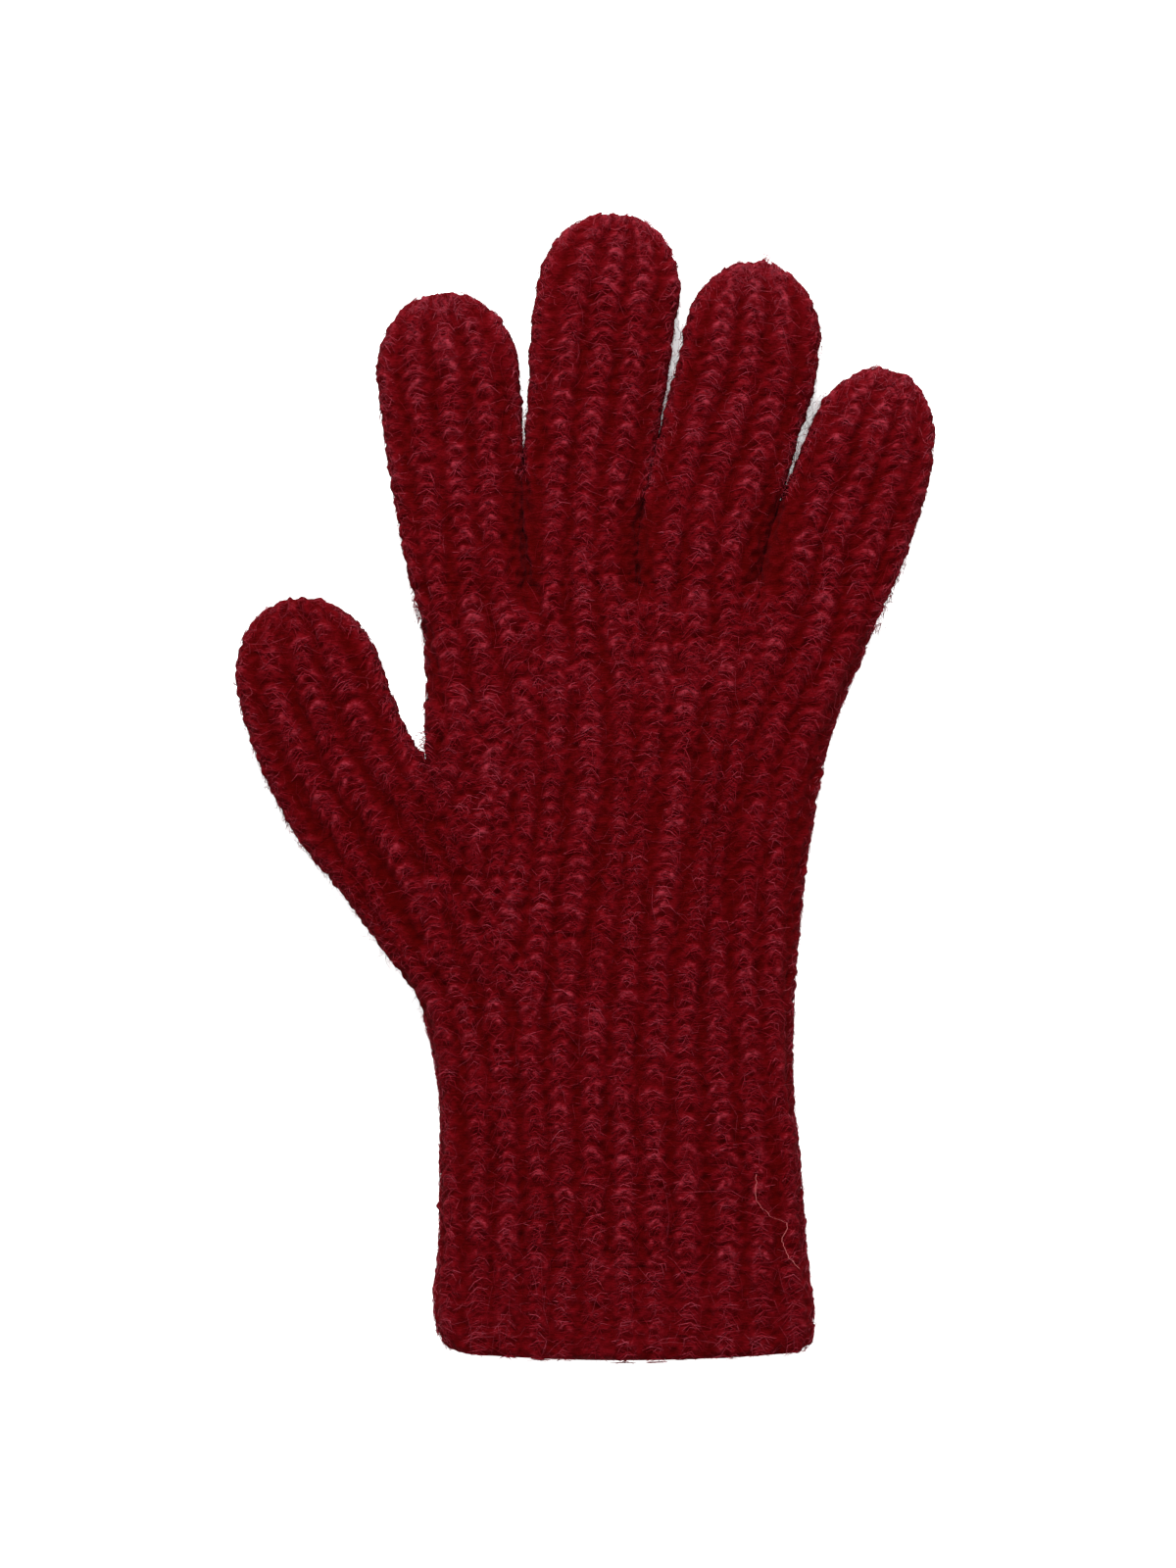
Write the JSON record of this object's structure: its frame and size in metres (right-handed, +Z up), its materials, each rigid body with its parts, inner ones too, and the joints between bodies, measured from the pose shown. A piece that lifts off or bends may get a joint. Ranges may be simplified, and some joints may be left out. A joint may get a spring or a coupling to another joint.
{
  "type": "knitted glove",
  "caption": "Long-cuffed ribbed wool glove for the left hand, lying flat with its palm up; the wrist, the knuckles and the finger joints bend towards the palm.",
  "frame": {"origin": "middle of the flat glove seen from above, on the surface it lies on", "axes": "+Y from the hem towards the fingertips, +X from the thumb side towards the little finger, +Z up out of the palm"},
  "size_m": [0.1593, 0.2601, 0.014],
  "materials": {
    "palm_rib": "fuzzy wool rib knit, deep crimson",
    "finger_rib": "fuzzy wool rib knit, deep crimson",
    "cuff_rib": "fuzzy wool rib knit, deep crimson",
    "hem_rib": "doubled wool rib knit, deep crimson",
    "closing_yarn": "wool yarn, deep crimson"
  },
  "bodies": {
    "hand": {"hand": "palm_rib", "thumb_gusset": "palm_rib", "index_root": "palm_rib", "middle_root": "palm_rib", "ring_root": "palm_rib", "little_root": "palm_rib"},
    "cuff": {"cuff": "cuff_rib", "cuff_hem": "hem_rib"},
    "index_base": {"index_base": "finger_rib"},
    "index_middle": {"index_middle": "finger_rib"},
    "index_tip": {"index_tip": "finger_rib", "index_tip_loops": "closing_yarn"},
    "middle_base": {"middle_base": "finger_rib"},
    "middle_middle": {"middle_middle": "finger_rib"},
    "middle_tip": {"middle_tip": "finger_rib", "middle_tip_loops": "closing_yarn"},
    "ring_base": {"ring_base": "finger_rib"},
    "ring_middle": {"ring_middle": "finger_rib"},
    "ring_tip": {"ring_tip": "finger_rib", "ring_tip_loops": "closing_yarn"},
    "little_base": {"little_base": "finger_rib"},
    "little_middle": {"little_middle": "finger_rib"},
    "little_tip": {"little_tip": "finger_rib", "little_tip_loops": "closing_yarn"},
    "thumb_base": {"thumb_base": "finger_rib"},
    "thumb_tip": {"thumb_tip": "finger_rib", "thumb_tip_loops": "closing_yarn"}
  },
  "joints": [
    {"name": "wrist_bend", "type": "hinge", "parent": "hand", "child": "cuff", "pos_m": [0.007, -0.066, 0.007], "axis": [-1, 0, 0], "range_deg": [0, 80]},
    {"name": "index_knuckle_bend", "type": "hinge", "parent": "hand", "child": "index_base", "pos_m": [-0.0277, 0.056, 0.007], "axis": [1, 0, 0], "range_deg": [0, 85]},
    {"name": "index_middle_bend", "type": "hinge", "parent": "index_base", "child": "index_middle", "pos_m": [-0.02958, 0.07591, 0.007], "axis": [1, 0, 0], "range_deg": [0, 85]},
    {"name": "index_tip_bend", "type": "hinge", "parent": "index_middle", "child": "index_tip", "pos_m": [-0.03118, 0.09284, 0.007], "axis": [1, 0, 0], "range_deg": [0, 45]},
    {"name": "middle_knuckle_bend", "type": "hinge", "parent": "hand", "child": "middle_base", "pos_m": [-0.0011, 0.058, 0.007], "axis": [1, 0, 0], "range_deg": [0, 85]},
    {"name": "middle_middle_bend", "type": "hinge", "parent": "middle_base", "child": "middle_middle", "pos_m": [0.00182, 0.08484, 0.007], "axis": [1, 0, 0], "range_deg": [0, 90]},
    {"name": "middle_tip_bend", "type": "hinge", "parent": "middle_middle", "child": "middle_tip", "pos_m": [0.00419, 0.10671, 0.007], "axis": [1, 0, 0], "range_deg": [0, 60]},
    {"name": "ring_knuckle_bend", "type": "hinge", "parent": "hand", "child": "ring_base", "pos_m": [0.0262, 0.056, 0.007], "axis": [1, 0, 0], "range_deg": [0, 85]},
    {"name": "ring_middle_bend", "type": "hinge", "parent": "ring_base", "child": "ring_middle", "pos_m": [0.03192, 0.07828, 0.007], "axis": [1, 0, 0], "range_deg": [0, 85]},
    {"name": "ring_tip_bend", "type": "hinge", "parent": "ring_middle", "child": "ring_tip", "pos_m": [0.03677, 0.09716, 0.007], "axis": [1, 0, 0], "range_deg": [0, 45]},
    {"name": "little_knuckle_bend", "type": "hinge", "parent": "hand", "child": "little_base", "pos_m": [0.0563, 0.054, 0.007], "axis": [1, 0, 0], "range_deg": [0, 85]},
    {"name": "little_middle_bend", "type": "hinge", "parent": "little_base", "child": "little_middle", "pos_m": [0.06092, 0.06774, 0.007], "axis": [1, 0, 0], "range_deg": [0, 75]},
    {"name": "little_tip_bend", "type": "hinge", "parent": "little_middle", "child": "little_tip", "pos_m": [0.06507, 0.08006, 0.007], "axis": [1, 0, 0], "range_deg": [0, 35]},
    {"name": "thumb_knuckle_bend", "type": "hinge", "parent": "hand", "child": "thumb_base", "pos_m": [-0.0549, 0.0038, 0.007], "axis": [0.9272, 0.3746, 0], "range_deg": [0, 60]},
    {"name": "thumb_tip_bend", "type": "hinge", "parent": "thumb_base", "child": "thumb_tip", "pos_m": [-0.06202, 0.02142, 0.007], "axis": [0.9681, 0.2504, 0], "range_deg": [0, 80]}
  ]
}
